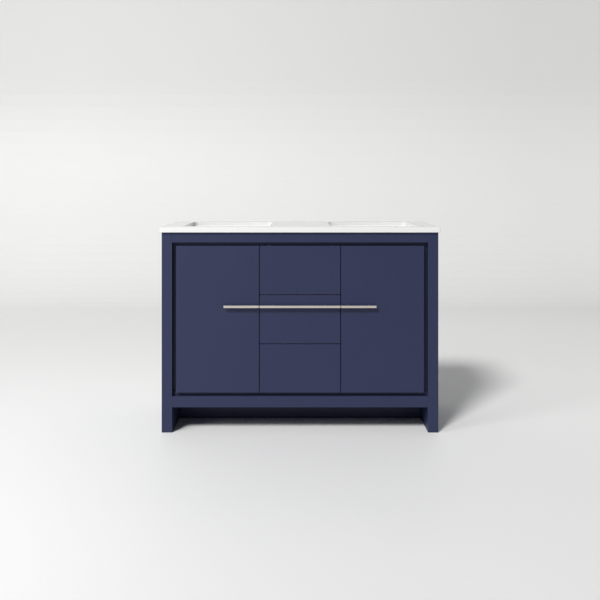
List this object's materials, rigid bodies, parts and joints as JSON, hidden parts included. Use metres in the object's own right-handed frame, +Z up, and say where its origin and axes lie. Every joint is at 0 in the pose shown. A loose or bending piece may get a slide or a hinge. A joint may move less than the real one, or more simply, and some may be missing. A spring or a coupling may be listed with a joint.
{
  "type": "bathroom vanity cabinet",
  "caption": "Free-standing bathroom vanity cabinet in navy with a white top, rectangular basins, slab doors, stacked centre drawers and a line of bar pulls.",
  "frame": {"origin": "on the floor, in the middle of the overall width and of the overall depth, pulls included", "axes": "+Z up, +X to the right as seen from the front, the front faces -Y"},
  "size_m": [1.219, 0.534, 0.896],
  "materials": {
    "navy_lacquer": "matte navy lacquer over board",
    "white_stone": "honed white engineered stone",
    "white_ceramic": "glossy white glaze",
    "brushed_nickel": "satin brushed nickel",
    "chrome": "polished",
    "hinge_steel": "nickel-plated steel",
    "slide_zinc": "zinc-plated steel",
    "drawer_birch": "clear-lacquered birch plywood"
  },
  "bodies": {
    "cabinet": {"side_panel_left": "navy_lacquer", "side_liner_left": "navy_lacquer", "side_panel_right": "navy_lacquer", "side_liner_right": "navy_lacquer", "top_rail": "navy_lacquer", "bottom_rail": "navy_lacquer", "toe_kick": "navy_lacquer", "bottom_panel": "navy_lacquer", "front_stretcher": "navy_lacquer", "back_rail_top": "navy_lacquer", "back_rail_bottom": "navy_lacquer", "partition_left": "navy_lacquer", "partition_right": "navy_lacquer", "countertop": "white_stone", "basin_left": "white_ceramic", "drain_left": "chrome", "hinge_arm_left_lower": "hinge_steel", "hinge_arm_left_upper": "hinge_steel", "basin_right": "white_ceramic", "drain_right": "chrome", "hinge_arm_right_lower": "hinge_steel", "hinge_arm_right_upper": "hinge_steel", "slide_top_left_cabinet": "slide_zinc", "slide_top_right_cabinet": "slide_zinc", "slide_middle_left_cabinet": "slide_zinc", "slide_middle_right_cabinet": "slide_zinc", "slide_bottom_left_cabinet": "slide_zinc", "slide_bottom_right_cabinet": "slide_zinc"},
    "door_left": {"door_left": "navy_lacquer", "pull_door_left": "brushed_nickel", "hinge_cup_left_lower": "hinge_steel", "hinge_cup_left_upper": "hinge_steel"},
    "stopper_left": {"stopper_left": "chrome"},
    "door_right": {"door_right": "navy_lacquer", "pull_door_right": "brushed_nickel", "hinge_cup_right_lower": "hinge_steel", "hinge_cup_right_upper": "hinge_steel"},
    "stopper_right": {"stopper_right": "chrome"},
    "drawer_top": {"drawer_top_front": "navy_lacquer", "drawer_top_side_left": "drawer_birch", "slide_top_left_drawer": "slide_zinc", "drawer_top_side_right": "drawer_birch", "slide_top_right_drawer": "slide_zinc", "drawer_top_bottom": "drawer_birch", "drawer_top_back": "drawer_birch"},
    "drawer_middle": {"drawer_middle_front": "navy_lacquer", "drawer_middle_side_left": "drawer_birch", "slide_middle_left_drawer": "slide_zinc", "drawer_middle_side_right": "drawer_birch", "slide_middle_right_drawer": "slide_zinc", "drawer_middle_bottom": "drawer_birch", "drawer_middle_back": "drawer_birch", "pull_drawer": "brushed_nickel"},
    "drawer_bottom": {"drawer_bottom_front": "navy_lacquer", "drawer_bottom_side_left": "drawer_birch", "slide_bottom_left_drawer": "slide_zinc", "drawer_bottom_side_right": "drawer_birch", "slide_bottom_right_drawer": "slide_zinc", "drawer_bottom_bottom": "drawer_birch", "drawer_bottom_back": "drawer_birch"}
  },
  "joints": [
    {"name": "door_left_hinge", "type": "hinge", "parent": "cabinet", "child": "door_left", "pos_m": [-0.5305, -0.2334, 0.4935], "axis": [0, 0, -1], "range_deg": [0, 100]},
    {"name": "stopper_left_lift", "type": "slide", "parent": "cabinet", "child": "stopper_left", "axis": [0, 0, 1], "range_m": [0, 0.008]},
    {"name": "door_right_hinge", "type": "hinge", "parent": "cabinet", "child": "door_right", "pos_m": [0.5305, -0.2334, 0.4935], "axis": [0, 0, 1], "range_deg": [0, 100]},
    {"name": "stopper_right_lift", "type": "slide", "parent": "cabinet", "child": "stopper_right", "axis": [0, 0, 1], "range_m": [0, 0.008]},
    {"name": "drawer_top_slide", "type": "slide", "parent": "cabinet", "child": "drawer_top", "axis": [0, -1, 0], "range_m": [0, 0.3]},
    {"name": "drawer_middle_slide", "type": "slide", "parent": "cabinet", "child": "drawer_middle", "axis": [0, -1, 0], "range_m": [0, 0.3]},
    {"name": "drawer_bottom_slide", "type": "slide", "parent": "cabinet", "child": "drawer_bottom", "axis": [0, -1, 0], "range_m": [0, 0.3]}
  ]
}
